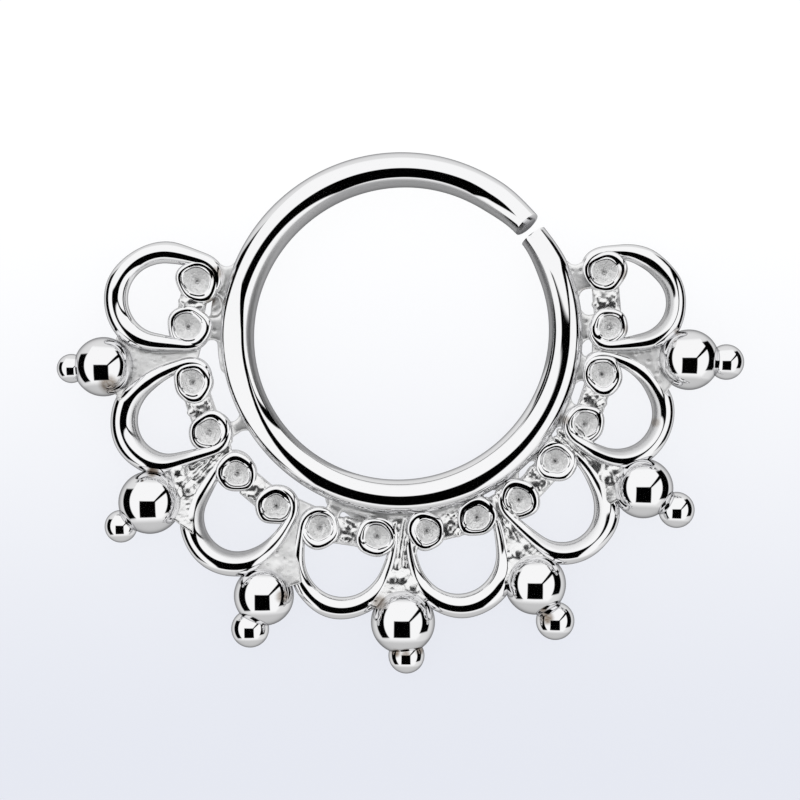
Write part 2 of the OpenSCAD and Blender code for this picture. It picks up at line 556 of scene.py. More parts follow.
@dataclass(frozen=True)
class Finish:
    """What the finishes of the ring's metal share.

    Attributes:
        name: The material's name.
        tint: The clean metal's colour seen face on.
        roughness: How rough it is on the whole.
        uneven: Its least and greatest roughness, as shares of that.
        edge: Its colour seen at a grazing angle.
        brown: The colour of a stain.
    """

    name: str
    tint: str
    roughness: float
    uneven: Pair
    edge: str = "#a8a8aa"
    brown: str = "#6b5538"

    def start(self) -> tuple[Material, Node, NodeSocket]:
        """Start the material.

        Returns:
            The material, its shader, and the place that its patterns read.
        """
        material = bpy.data.materials.new(self.name)
        material.use_nodes = True
        shader = material.node_tree.nodes["Principled BSDF"]
        shader.inputs["Metallic"].default_value = 1.0
        shader.inputs["Base Color"].default_value = linear(self.tint)
        shader.inputs["Specular Tint"].default_value = linear(self.edge)
        return material, shader, add_node(material.node_tree, "ShaderNodeTexCoord").outputs["Object"]

    def stained(self, tree: NodeTree) -> Node:
        """Mix the clean tint with the brown of the stains.

        Args:
            tree: The material's node tree.

        Returns:
            The mix, whose input 6 is the clean tint.
        """
        tarnish = add_node(tree, "ShaderNodeAttribute", {"attribute_name": TARNISH})
        return add_node(tree, "ShaderNodeMix", {"data_type": "RGBA", 6: linear(self.tint), 7: linear(self.brown)},
                        {0: tarnish.outputs["Fac"]})

    def worn(self, pattern: Node) -> NodeSocket:
        """Let the roughness follow a pattern.

        Args:
            pattern: A noise node.

        Returns:
            The roughness.
        """
        low, high = self.uneven
        return add_node(pattern.id_data, "ShaderNodeMapRange",
                        {"To Min": self.roughness * low, "To Max": self.roughness * high},
                        {"Value": pattern.outputs["Fac"]}).outputs["Result"]


@dataclass(frozen=True)
class PolishedPlate(Finish):
    """Rhodium plate over cast brass, buffed by hand: a clear white mirror, matt where the wheel missed it and greyed
    there as painted shade.
    """

    name: str = "rhodium_plate_buffed"
    tint: str = "#f5f5f6"
    # Painted shade: the grey that the matt sides are tinted to.
    painted_shade_tint: str = "#b9b9ba"
    matt_roughness: float = 0.38
    roughness: float = 0.035
    uneven: Pair = (0.7, 1.6)
    # Size of the patches that the wheel left a little less bright.
    patch_mm: float = 1.4

    def build(self) -> Material:
        """Build the material.

        Returns:
            The new material.
        """
        material, shader, place = self.start()
        tree = material.node_tree
        wear = add_node(tree, "ShaderNodeTexNoise", {"Scale": 1 / (self.patch_mm * MM), "Detail": 3.0},
                        {"Vector": place})
        # The matt attribute raises the roughness and, as painted shade, turns the colour grey.
        matt = add_node(tree, "ShaderNodeAttribute", {"attribute_name": MATT_AND_SHADE}).outputs["Fac"]
        grey = add_node(tree, "ShaderNodeMix", {"data_type": "RGBA", 6: linear(self.tint), 7: linear(self.painted_shade_tint)},
                        {0: matt})
        colour = self.stained(tree)
        rough = add_node(tree, "ShaderNodeMix", {"data_type": "FLOAT", 3: self.matt_roughness},
                         {0: matt, 2: self.worn(wear)})
        tree.links.new(grey.outputs[2], colour.inputs[6])
        tree.links.new(colour.outputs[2], shader.inputs["Base Color"])
        tree.links.new(rough.outputs[0], shader.inputs["Roughness"])
        return material


@dataclass(frozen=True)
class CastSkin(Finish):
    """The plate over metal left as it was cast: bright, but lumpy and pitted."""

    name: str = "rhodium_plate_as_cast"
    tint: str = "#f6f6f6"
    roughness: float = 0.22
    uneven: Pair = (0.6, 1.8)
    bump: float = 0.65
    bump_mm: float = 0.06
    # Real lumps and pits are under 0.1 mm, too fine to show, so they are drawn several times as coarse.
    lump_mm: float = 0.38
    pit_mm: float = 0.30
    pit_share: float = 0.35

    def build(self) -> Material:
        """Build the material.

        Returns:
            The new material.
        """
        material, shader, place = self.start()
        tree = material.node_tree
        lumps = add_node(tree, "ShaderNodeTexNoise", {"Scale": 1 / (self.lump_mm * MM), "Detail": 2.0},
                         {"Vector": place})
        pits = add_node(tree, "ShaderNodeTexVoronoi", {"Scale": 1 / (self.pit_mm * MM)}, {"Vector": place})
        hole = add_node(tree, "ShaderNodeMapRange", {"From Max": self.pit_share}, {"Value": pits.outputs["Distance"]})
        height = add_node(tree, "ShaderNodeMath", {"operation": "MULTIPLY_ADD", 1: self.pit_share},
                          {0: hole.outputs["Result"], 2: lumps.outputs["Fac"]})
        bump = add_node(tree, "ShaderNodeBump", {"Strength": self.bump, "Distance": self.bump_mm * MM},
                        {"Height": height.outputs["Value"]})
        tree.links.new(self.stained(tree).outputs[2], shader.inputs["Base Color"])
        tree.links.new(bump.outputs["Normal"], shader.inputs["Normal"])
        tree.links.new(self.worn(lumps), shader.inputs["Roughness"])
        return material


@dataclass(frozen=True)
class FrostedCup(Finish):
    """The floor of a cup, matt where the tool tumbled in it: frosted white with fine grains."""

    name: str = "rhodium_plate_frosted"
    tint: str = "#f2f2f2"
    edge: str = "#ffffff"
    roughness: float = 0.50
    uneven: Pair = (0.6, 1.3)
    bump: float = 0.9
    bump_mm: float = 0.085
    # Real grains are a few hundredths of a millimetre, so they too are drawn coarser.
    grain_mm: float = 0.13

    def build(self) -> Material:
        """Build the material.

        Returns:
            The new material.
        """
        material, shader, place = self.start()
        tree = material.node_tree
        grain = add_node(tree, "ShaderNodeTexNoise", {"Scale": 1 / (self.grain_mm * MM), "Detail": 4.0},
                         {"Vector": place})
        bump = add_node(tree, "ShaderNodeBump", {"Strength": self.bump, "Distance": self.bump_mm * MM},
                        {"Height": grain.outputs["Fac"]})
        tree.links.new(bump.outputs["Normal"], shader.inputs["Normal"])
        tree.links.new(self.worn(grain), shader.inputs["Roughness"])
        return material


@dataclass
class Hoop:
    """The open hoop: a round wire whose thickness swells and thins round the ring, cut at the upper right."""

    outer_r: float = 6.215
    half: float = 0.592
    swell: float = 0.034
    thin_at: float = 35.0
    gap_from: float = 36.6
    gap_to: float = 40.9
    # The upper end is bent up and the lower one down, each over so many degrees.
    lift: float = 0.42
    lift_span: float = 25.0
    drop: float = 0.36
    drop_span: float = 36.0
    # Angles where the buffed flat begins, is full, starts to fade and has ended.
    flat: tuple[float, float, float, float] = (148.0, 182.0, 192.0, 250.0)
    flat_ridge: float = -0.39
    flat_slope: float = 0.38
    flat_fade: float = 0.66
    flat_soft: Pair = (0.10, 0.34)
    flat_width: float = 1.2
    end_taper: float = 0.14
    taper_span: float = 16.0
    # How far across the wire, from -1 inside to 1 outside, its matt inner side, greyed as painted shade, reaches at
    # each angle.
    matt_and_shade_edge: tuple[Pair, ...] = (
        (0, -0.76), (12, -0.66), (26, -0.54), (38, -0.60), (44, -0.62), (90, -0.60), (140, -0.54), (180, -0.58),
        (200, -0.68), (240, -0.78), (262, -1.10), (335, -1.10), (350, -0.84), (360, -0.76))
    steps: int = 420
    sides: int = 96
    edge_width: float = 0.05
    edge_segments: int = 4
    edge_angle: float = 50.0
    crease: float = 35.0

    def half_at(self, angle: float) -> float:
        """Return the wire's half thickness at an angle in degrees."""
        return self.half - self.swell * math.cos(math.radians(2 * (angle - self.thin_at)))

    def place(self, spot: Vector) -> Triple:
        """Find a place of the wire.

        Args:
            spot: A point of its skin.

        Returns:
            Its angle in degrees, how far across the wire it is from -1 to 1, and the half thickness there.
        """
        angle = math.degrees(math.atan2(spot.y, spot.x)) % 360
        half = self.half_at(angle)
        return angle, (math.hypot(spot.x, spot.y) - self.outer_r + half) / half, half

    def buff(self, hoop: Object) -> None:
        """Buff a long shallow flat, soft at its edges, into the front of the wire at the left.

        Args:
            hoop: The bent wire.
        """
        begin, full, still, stop = self.flat
        ridge_z = math.sqrt(1 - self.flat_ridge ** 2)
        for v in hoop.data.vertices:
            angle, across, half = self.place(v.co)
            if begin < angle < stop and v.co.z > 0:
                fade = 1 - smooth_step((angle - begin) / (full - begin)) + smooth_step((angle - still) / (stop - still))
                plane = ridge_z - self.flat_slope * (across - self.flat_ridge) + fade * self.flat_fade
                height = v.co.z / half
                soft = self.flat_soft[0] + self.flat_soft[1] * smooth_step((across - self.flat_ridge) / self.flat_width)
                nearly = max(soft - abs(height - plane), 0) / soft
                v.co.z = half * (min(height, plane) - nearly * nearly * soft / 4)

    def matt_and_shade_at(self, spot: Vector) -> float:
        """Tell how matt a place is: the buffing wheel misses the inner side, which stays rough and is greyed as painted
        shade.

        Args:
            spot: A point of the wire's skin.

        Returns:
            0 where it is bright, up to 1 where it is matt and greyed as painted shade.
        """
        angle, across, _ = self.place(spot)
        (a, low), (b, high) = next(pair for pair in zip(self.matt_and_shade_edge, self.matt_and_shade_edge[1:]) if angle <= pair[1][0])
        edge = low + (high - low) * (angle - a) / (b - a)
        return smooth_step((edge - across) / MATT_AND_SHADE_SOFT + 0.5)

    def build(self, metal: Material) -> list[Object]:
        """Bend the hoop.

        Args:
            metal: Its finish.

        Returns:
            The hoop.
        """
        path = WirePath()
        end = self.gap_from + 360
        for angle in stops(self.gap_to, end, self.steps):
            near = min(angle - self.gap_to, end - angle)
            spot = Circle(0, 0, self.outer_r - self.half_at(angle)).at(angle)
            spot.z = self.lift * max(0.0, 1 - (angle - self.gap_to) / self.lift_span) ** 2
            spot.z -= self.drop * max(0.0, 1 - (end - angle) / self.drop_span) ** 2
            path.points.append(spot)
            path.radii.append(self.half_at(angle) * (1 - self.end_taper * smooth_step(1 - near / self.taper_span)))
        hoop = BENCH.tube(path, self.sides, "Hoop", round_ends=False)
        self.buff(hoop)
        BENCH.modify(hoop, "BEVEL", width=self.edge_width, segments=self.edge_segments, limit_method="ANGLE",
                     angle_limit=math.radians(self.edge_angle))
        # The inner side's matt band, whose grey is painted shade.
        paint(hoop, MATT_AND_SHADE, self.matt_and_shade_at)
        return [BENCH.finish(hoop, metal, self.crease)]


@dataclass
class Scroll:
    """One C-scroll: a wire loop whose ends curl in round the two cups."""

    row: Scallop
    number: int
    curl_clear: float = 0.46
    # A curl's half thickness at its tip, how quickly it leaves the cup and thickens, and how far its tip draws in.
    tip_half: float = 0.12
    leave: float = 1.5
    thicken: float = 1.3
    drift: float = 0.03
    # Shares of the way where the wire starts to climb, and between two of the row's slopes.
    level: float = 0.05
    slope_gap: float = 0.15
    bow_reach: float = 0.85
    # How far the matt side, greyed as painted shade, reaches from the hole, in millimetres, and round it to each side,
    # in degrees.
    matt_and_shade_reach: float = 0.22
    matt_and_shade_turn: float = 125.0
    matt_and_shade_fade: float = 30.0
    step: float = 0.05
    eases: int = 14
    sides: int = 28

    def curl_radius(self, half: float, f: float) -> float:
        """Return a curl's radius at a share f of the way from its tip, where its half thickness becomes half."""
        grown = (half - self.tip_half) * smooth_step(f * self.leave)
        return self.curl_clear + self.tip_half + grown - self.drift * (1 - f) ** 2

    def curl_half(self, half: float, f: float) -> float:
        """Return a curl's half thickness at a share f of the way from its tip, where it becomes half."""
        return self.tip_half + (half - self.tip_half) * smooth_step(f * self.thicken)

    def width(self, f: float) -> float:
        """Return the wire's half thickness for a share of the way round the loop."""
        return between(self.row.widths, f * (len(self.row.widths) - 1))

    def path(self) -> WirePath:
        """Lay out the wire.

        Returns:
            Its middle line and half thickness from one tip to the other.
        """
        s = self.row
        hole = Vector((*s.hole[:2], 0.0))
        (half_a, turn_a), (half_b, turn_b) = s.curl_a, s.curl_b
        first, last = Circle(*s.cup_a, self.curl_clear + half_a), Circle(*s.cup_b, self.curl_clear + half_b)
        from_angle = lean(first, Circle(hole.x, hole.y, s.hole[2] + s.widths[0]))
        to_angle = after(from_angle, lean(Circle(hole.x, hole.y, s.hole[2] + s.widths[-1]), last))
        line = WirePath()
        line.arc(Vector((*s.cup_a, 0)), from_angle - turn_a, from_angle, self.step,
                 lambda f: self.curl_radius(half_a, f), lambda f: self.curl_half(half_a, f))
        line.arc(hole, from_angle, to_angle, self.step, lambda f: s.hole[2] + self.width(f), self.width)
        line.arc(Vector((*s.cup_b, 0)), to_angle, to_angle + turn_b, self.step,
                 lambda f: self.curl_radius(half_b, 1 - f), lambda f: self.curl_half(half_b, 1 - f))
        return self.climbing(self.bowed(line.even(self.step)).eased(self.eases))

    def climbing(self, line: WirePath) -> WirePath:
        """Bend the line a little up and down, both its ends staying level.

        Args:
            line: The flat wire.

        Returns:
            The wire with the row's slopes.
        """
        knots = (0.0, *self.row.slopes, 0.0)
        heights = [0.0]
        count = len(line.points) - 1
        for i in range(count):
            slope = between(knots, (i / count - self.level) / self.slope_gap)
            heights.append(heights[-1] + slope * (line.points[i + 1] - line.points[i]).length)
        points = [p + Vector((0, 0, h - heights[-1] * i / count)) for i, (p, h) in enumerate(zip(line.points, heights))]
        return WirePath(points, line.radii)

    def bowed(self, line: WirePath) -> WirePath:
        """Bow the line out where it runs straight between a curl and the loop.

        Args:
            line: The wire with its straight runs.

        Returns:
            The bowed wire.
        """
        s = self.row
        last = len(line.points) - 1
        for cup, (half, turn), bulge, back in ((s.cup_a, s.curl_a, s.bulges[0], False),
                                               (s.cup_b, s.curl_b, s.bulges[1], True)):
            span = math.hypot(cup[0] - s.hole[0], cup[1] - s.hole[1])
            middle = math.radians(turn) * (self.curl_clear + half) + span / 2
            if back:
                middle = last * self.step - middle
            moved = []
            for i, p in enumerate(line.points):
                t = (i * self.step - middle) / (span * self.bow_reach)
                way = line.points[min(last, i + 1)] - line.points[max(0, i - 1)]
                push = bulge * math.cos(math.pi / 2 * t) ** 2 / way.length if abs(t) < 1 else 0.0
                moved.append(p + Vector((way.y, -way.x, 0.0)) * push)
            line = WirePath(moved, line.radii)
        return line

    def matt_and_shade_at(self, spot: Vector) -> float:
        """Tell how matt a place is, and how much painted shade greys it: the side that faces the hole, round to near
        the cups.

        Args:
            spot: A point of the wire's skin.

        Returns:
            0 where it is bright, up to 1 where it is matt and greyed as painted shade.
        """
        x, y, r = self.row.hole
        gap = math.hypot(spot.x - x, spot.y - y) - r
        turn = (math.atan2(spot.y - y, spot.x - x) - math.atan2(y, x) + math.pi) % math.tau - math.pi
        facing = smooth_step((self.matt_and_shade_reach - gap) / MATT_AND_SHADE_SOFT + 0.5)
        return self.row.matt * facing * smooth_step((self.matt_and_shade_turn - abs(math.degrees(turn))) / self.matt_and_shade_fade)

    def build(self, metal: Material) -> list[Object]:
        """Bend the scroll.

        Args:
            metal: Its finish.

        Returns:
            The scroll.
        """
        wire = BENCH.tube(self.path(), self.sides, f"Scroll_{self.number}")
        # The side facing the hole is made matt and greyed as painted shade.
        paint(wire, MATT_AND_SHADE, self.matt_and_shade_at)
        return [BENCH.finish(wire, metal)]


@dataclass
class Cup:
    """A small round cup with a bright rim, a frosted dish and a drill mark in its floor."""

    x: float
    y: float
    dish_r: float = 0.40
    rim_z: float = 0.22
    floor_r: float = 0.05
    depth: float = 0.23
    height: float = 0.56
    # The dish's side: rows, power of its curve, and how much of the depth it takes before the bead.
    dish_rows: int = 6
    dish_curve: float = 1.25
    dish_share: float = 0.96
    # The drill's mark: shares of its radius and depth, from its blunt tip out to its edge.
    mark: tuple[Pair, ...] = ((0.0, 1.0), (0.5, 0.8), (1.0, -0.0625))
    mark_r: float = 0.10
    mark_depth: float = 0.16
    # The thin bead at the rim: how far out from the dish, and how high from the rim.
    bead: tuple[Pair, ...] = ((0.015, -0.006), (0.03, 0.0), (0.05, -0.015))
    # The rolled edge outside it: height of its middle, radius, place from the dish, and its angles.
    roll_z: float = 0.055
    roll_half: float = 0.145
    roll_gap: float = 0.135
    roll_arc: tuple[int, int, int] = (118, -61, -12)
    foot: float = 0.06
    # What makes it uneven: a wavy outline, a lean in degrees, and a rolled edge thicker to one side.
    waves: tuple[int, ...] = (2, 3, 5)
    wobble: float = 0.042
    tilt: float = 5.0
    roll_from: float = 0.055
    roll_low: float = -0.1
    roll_swell: float = 0.13
    roll_thin: float = 0.03
    roll_lift: float = 0.05
    level_foot: float = 0.1
    seed: int = 40
    turns: int = 56
    weld_gap: float = 0.001

    def profile(self) -> list[Pair]:
        """Draw half the cup's outline.

        Returns:
            Radius and height, from the floor's middle out over the rolled edge to the base.
        """
        top, floor = self.rim_z, self.rim_z - self.depth
        mark = [(self.mark_r * out, floor - self.mark_depth * down) for out, down in self.mark]
        dish = [(self.floor_r + (self.dish_r - self.floor_r) * f,
                 floor + self.depth * self.dish_share * f ** self.dish_curve) for f in stops(0, 1, self.dish_rows)[1:]]
        bead = [(self.dish_r + out, top + up) for out, up in self.bead]
        middle = self.dish_r + self.roll_gap
        roll = [(middle + self.roll_half * math.cos(a), self.roll_z + self.roll_half * math.sin(a))
                for a in map(math.radians, range(*self.roll_arc))]
        out, base = roll[-1][0], top - self.height
        return mark + dish + bead + roll + [(out, base + self.foot), (out - self.foot, base), (0.0, base)]

    def shape(self, cup: Object, number: int) -> None:
        """Make the turned cup as uneven as a cast one.

        Args:
            cup: The turned cup.
            number: Its number, from which its unevenness comes.
        """
        rng = random.Random(self.seed + number)
        waves = [(k, rng.uniform(0, math.tau), self.wobble / math.sqrt(k - 1)) for k in self.waves]
        lean_x, lean_y = (math.tan(math.radians(rng.uniform(-self.tilt, self.tilt))) for _ in range(2))
        thick = rng.uniform(0, math.tau)
        for v in cup.data.vertices:
            angle = math.atan2(v.co.y, v.co.x)
            wave = 1 + sum(size * math.sin(k * angle + phase) for k, phase, size in waves)
            if math.hypot(v.co.x, v.co.y) > self.dish_r + self.roll_from and v.co.z > self.roll_low:
                wave += self.roll_swell * (0.5 + 0.5 * math.sin(angle - thick)) - self.roll_thin
                v.co.z += self.roll_lift * math.sin(angle - thick)
            v.co.x, v.co.y = v.co.x * wave, v.co.y * wave
            if v.co.z > self.rim_z - self.height + self.level_foot:
                v.co.z += v.co.x * lean_x + v.co.y * lean_y

    def build(self, number: int, rim: Material, dish: Material) -> Object:
        """Turn the cup.

        Args:
            number: Its number, for its name.
            rim: Finish of its rim and wall.
            dish: Finish of its dish.

        Returns:
            The cup.
        """
        rows = self.profile()
        BENCH.fresh()
        bpy.ops.mesh.primitive_circle_add(vertices=len(rows), radius=1.0)
        cup = BENCH.named(f"Cup_{number}")
        for spot, (r, z) in zip(cup.data.vertices, rows):
            spot.co = (r, 0.0, z)
        with BENCH.editing():
            bpy.ops.mesh.spin(steps=self.turns, angle=math.tau, center=(0, 0, 0), axis=(0, 0, 1))
            bpy.ops.mesh.select_all(action="SELECT")
            bpy.ops.mesh.remove_doubles(threshold=self.weld_gap)
            bpy.ops.mesh.dissolve_degenerate(threshold=self.weld_gap)
        cup.data.materials.append(rim)
        cup.data.materials.append(dish)
        above = self.rim_z - self.height + self.level_foot
        for face in cup.data.polygons:
            x, y, z = face.center
            face.material_index = int(math.hypot(x, y) < self.dish_r and z > above)
        self.shape(cup, number)
        cup.location = (self.x, self.y, 0)
        return cup


@dataclass
class Cups:
    """All sixteen cups as one piece with two finishes."""

    crease: float = 50.0

    def build(self, rim: Material, dish: Material) -> list[Object]:
        """Turn the cups and join them.

        Args:
            rim: Finish of their rims and walls.
            dish: Finish of their dishes.

        Returns:
            The joined cups.
        """
        rows = [row for s in SCALLOPS for row in ((*s.cup_a, s.dishes[0]), (*s.cup_b, s.dishes[1]))]
        cups = [Cup(*row).build(i, rim, dish) for i, row in enumerate(rows)]
        return [BENCH.finish(BENCH.join(cups, "Cups"), rim, self.crease)]


@dataclass
class Balls:
    """The seven pairs of balls, each big one resting on the surface."""

    big_segments: int = 96

    def build(self, metal: Material) -> list[Object]:
        """Turn the balls.

        Args:
            metal: Their finish.

        Returns:
            One piece for each pair.
        """
        pieces = []
        for i, pair in enumerate(BALL_PAIRS):
            x, y, r = pair.big
            u, v, q = pair.small
            big = BENCH.ball(x, y, r - HOOP_Z, r, f"BigBall_{i}", self.big_segments)
            small = BENCH.ball(u, v, 0.0, q, f"SmallBall_{i}")
            pieces.append(BENCH.finish(BENCH.join([big, small], f"Balls_{i}"), metal))
        return pieces


@dataclass
class Casting:
    """The cast metal between the scrolls, melted into them: webs, bridges and necks.

    Lengths are in millimetres, and places along a scroll are shares of its length.
    """

    scrolls: list[Scroll]
    grain: float = 0.04
    shrink: float = 0.90
    top: float = 0.10
    base: float = -0.26
    # The bridges, with small lumps across their middles.
    bridge_top: float = 0.13
    bridge_half: float = 0.48
    bridge_passes: int = 5
    bridge_sides: int = 32
    bridge_seed: int = 100
    cup_wall: float = 0.47
    lumps: int = 14
    lump_along: Pair = (0.40, 0.60)
    lump_across: float = 0.85
    lump_r: Pair = (0.09, 0.15)
    lump_sink: float = 0.7
    lump_segments: int = 16
    stub_top: float = -0.14
    stub_r: Pair = (0.60, 0.57)
    curls: tuple[Pair, ...] = ((0.0, 0.22), (0.78, 1.0))
    curl_sides: int = 20
    # The webs. A curl that turns far moves the last corners of the web's left side back along the wire.
    slope: float = 0.19
    left_edge: tuple[Pair, ...] = ((0.62, 0.0), (0.70, 0.0), (0.78, 0.0), (0.84, 0.6), (0.91, 1.0))
    right_edge: tuple[float, ...] = (0.09, 0.16, 0.22, 0.30, 0.38)
    plain_turn: float = 160.0
    turn_back: float = 0.0008
    left_wire: Pair = (0.60, 0.94)
    right_wire: Pair = (0.06, 0.40)
    wire_sides: int = 24
    # The cores of the balls inside it: shares of their radii, and segments.
    big_core: tuple[float, int] = (0.86, 40)
    small_core: tuple[float, int] = (0.95, 32)
    neck_from: float = 0.3
    neck_r: Pair = (0.32, 0.52)
    small_neck_r: Pair = (0.72, 0.62)
    plain_passes: int = 7
    # Some webs have ribs from the cups to the ball, and swollen necks.
    ribbed: tuple[int, ...] = (1, 3, 4, 5)
    ribbed_passes: int = 4
    swells: int = 3
    swell_r: Pair = (0.32, 0.46)
    swell_back: float = 0.4
    swell_span: float = 0.7
    swell_sink: float = 0.45
    swell_segments: int = 20
    ribs: int = 4
    rib_first: float = 0.17
    rib_gap: float = 0.22
    rib_steps: int = 8
    rib_stray: float = 0.05
    rib_sink: float = 0.03
    rib_r: Pair = (0.07, 0.12)
    rib_sides: int = 12
    web_seed: int = 300

    def bridge(self, i: int) -> Object:
        """Cast the bridge between the two cups of a loop.

        Args:
            i: Number of the loop.

        Returns:
            The melted bridge with its lumps.
        """
        s = self.scrolls[i].row
        rng = random.Random(self.bridge_seed + i)
        a, b = Vector((*s.cup_a, 0)), Vector((*s.cup_b, 0))
        way = (b - a).normalized()
        side = Vector((-way.y, way.x, 0)) * self.bridge_half
        ends = [a + way * self.cup_wall, b - way * self.cup_wall]
        slab = BENCH.tube(WirePath(ends, [self.bridge_half] * 2), self.bridge_sides, "Slab", round_ends=False)
        slab.scale.z = (self.bridge_top - self.base) / 2 / self.bridge_half
        slab.location.z = (self.bridge_top + self.base) / 2
        parts = [slab]
        for _ in range(self.lumps):
            spot = a.lerp(b, rng.uniform(*self.lump_along)) + side * rng.uniform(-self.lump_across, self.lump_across)
            size = rng.uniform(*self.lump_r)
            height = self.bridge_top - size * self.lump_sink
            parts.append(BENCH.ball(spot.x, spot.y, height, size, "Lump", self.lump_segments))
        for c in (a, b):
            foot, head = c + Vector((0, 0, self.base)), c + Vector((0, 0, self.stub_top))
            parts.append(BENCH.bar(foot, head, *self.stub_r, "Stub"))
        line = self.scrolls[i].path()
        parts += [BENCH.tube(line.part(*curl, self.shrink), self.curl_sides, "Curl") for curl in self.curls]
        piece = BENCH.join(parts, f"Bridge_{i}")
        BENCH.melt(piece, self.grain, self.bridge_passes)
        return piece

    def slab(self, outline: list[Vector]) -> Object:
        """Cast a web's sheet, lower towards the hoop's top and following the wires' own heights.

        Args:
            outline: Its corners, in order.

        Returns:
            The sheet.
        """
        sheet = BENCH.plate(outline, self.base, self.top, "Slab")
        middle = sum(spot.y for spot in outline) / len(outline)
        for corner in sheet.data.vertices:
            under = min(outline, key=lambda spot: (spot.xy - corner.co.xy).length)
            corner.co.z += under.z - self.slope * (corner.co.y - middle)
        return sheet

    def rough_parts(self, i: int, left: list[Vector], right: list[Vector]) -> list[Object]:
        """Cast the swollen neck and the ribs of a web.

        Args:
            i: Number of the web.
            left: Corners of its left side.
            right: Corners of its right side.

        Returns:
            The lumps and ribs.
        """
        x, y, r = BALL_PAIRS[i].big
        ball = Vector((x, y, 0))
        rng = random.Random(self.web_seed + i)
        way, across = ball.normalized(), Vector((-y, x, 0)).normalized()
        parts = []
        for aside in stops(-0.5, 0.5, self.swells - 1):
            size = rng.uniform(*self.swell_r)
            spot = ball - way * (r + rng.uniform(0.0, self.swell_back)) + across * (self.swell_span * aside)
            height = self.top - size * self.swell_sink
            parts.append(BENCH.ball(spot.x, spot.y, height, size, "Swell", self.swell_segments))
        for k in range(self.ribs):
            f = self.rib_first + self.rib_gap * k
            near, far = left[-1].lerp(right[0], f), left[1].lerp(right[3], f)
            rib = []
            for t in stops(0, 1, self.rib_steps):
                stray_x, stray_y = (rng.uniform(-self.rib_stray, self.rib_stray) for _ in range(2))
                rib.append(near.lerp(far, t) + Vector((stray_x, stray_y, self.top - self.rib_sink)))
            parts.append(BENCH.tube(WirePath(rib, [rng.uniform(*self.rib_r) for _ in rib]), self.rib_sides, "Rib"))
        return parts

    def web(self, i: int) -> Object:
        """Cast the web between two loops, with the neck that holds its ball.

        Args:
            i: Number of the web.

        Returns:
            The melted web.
        """
        wire_l, wire_r = self.scrolls[i].path(), self.scrolls[i + 1].path()
        x, y, r = BALL_PAIRS[i].big
        u, v, q = BALL_PAIRS[i].small
        n, m = len(wire_l.points) - 1, len(wire_r.points) - 1
        back = max(0.0, self.scrolls[i].row.curl_b[1] - self.plain_turn) * self.turn_back
        left = [wire_l.points[int(n * (f - back * share))] for f, share in self.left_edge]
        right = [wire_r.points[int(m * f)] for f in self.right_edge]
        ball, small = Vector((x, y, 0)), Vector((u, v, 0))
        root = (left[1] + right[3]) / 2
        parts = [self.slab([ball] + left + right),
                 BENCH.tube(wire_l.part(*self.left_wire, self.shrink), self.wire_sides, "Left"),
                 BENCH.tube(wire_r.part(*self.right_wire, self.shrink), self.wire_sides, "Right"),
                 BENCH.ball(x, y, r - HOOP_Z, r * self.big_core[0], "Big", self.big_core[1]),
                 BENCH.ball(u, v, 0, q * self.small_core[0], "Small", self.small_core[1]),
                 BENCH.bar(root.lerp(ball, self.neck_from), ball, self.neck_r[0], r * self.neck_r[1], "Neck"),
                 BENCH.bar(ball, small, q * self.small_neck_r[0], q * self.small_neck_r[1], "SmallNeck")]
        if i in self.ribbed:
            parts += self.rough_parts(i, left, right)
        piece = BENCH.join(parts, f"Web_{i}")
        BENCH.melt(piece, self.grain, self.ribbed_passes if i in self.ribbed else self.plain_passes)
        return piece

    def build(self, bright: Material, dull: Material) -> list[Object]:
        """Cast every bridge and web.

        Args:
            bright: Finish of the bridges and the ribbed webs.
            dull: Finish of the smooth webs.

        Returns:
            The pieces.
        """
        pieces = [BENCH.finish(self.bridge(i), bright) for i in range(len(self.scrolls))]
        return pieces + [BENCH.finish(self.web(i), bright if i in self.ribbed else dull)
                         for i in range(len(self.scrolls) - 1)]


